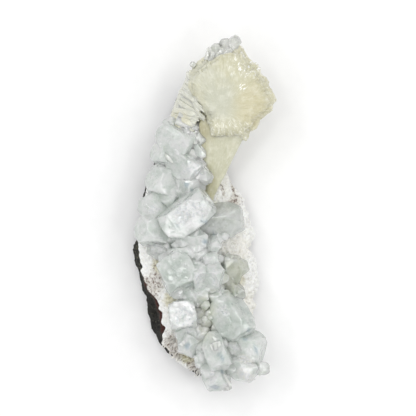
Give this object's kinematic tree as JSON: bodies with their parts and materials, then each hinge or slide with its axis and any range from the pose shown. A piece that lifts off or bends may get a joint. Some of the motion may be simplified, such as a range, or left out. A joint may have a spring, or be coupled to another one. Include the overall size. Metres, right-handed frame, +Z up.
{
  "type": "apophyllite with stilbite specimen",
  "caption": "Long slab of dark basalt with a white crust, covered in blocky glassy crystals, with a cream fan-shaped sheaf at one end.",
  "frame": {"origin": "middle of the specimen's footprint, on the surface that its flat basalt back rests on", "axes": "+Y runs along the specimen from its pointed foot to the stilbite head, +Z points up out of the crystals, and +X completes them, across the specimen"},
  "size_m": [0.0498, 0.1211, 0.0333],
  "materials": {
    "basalt": "dull, rough, dark grey-brown with olive specks and a red-brown rim",
    "crust": "matt white, finely crystalline, with brown and grey specks",
    "apophyllite": "glassy and translucent, colourless to pale grey-green, with pearly end faces",
    "tip_apophyllite": "glassy and translucent, pale grey",
    "stilbite": "pearly and waxy, cream to straw yellow",
    "side_stilbite": "silky and glassy, pale cream with fine lines along the blades"
  },
  "bodies": {
    "root": {"basalt_matrix": "basalt", "white_crust": "crust", "apophyllite_cluster": "apophyllite", "stilbite_sheaf": "stilbite", "side_sheaf": "side_stilbite", "tip_apophyllite": "tip_apophyllite", "bead_apophyllite": "tip_apophyllite"}
  },
  "joints": []
}
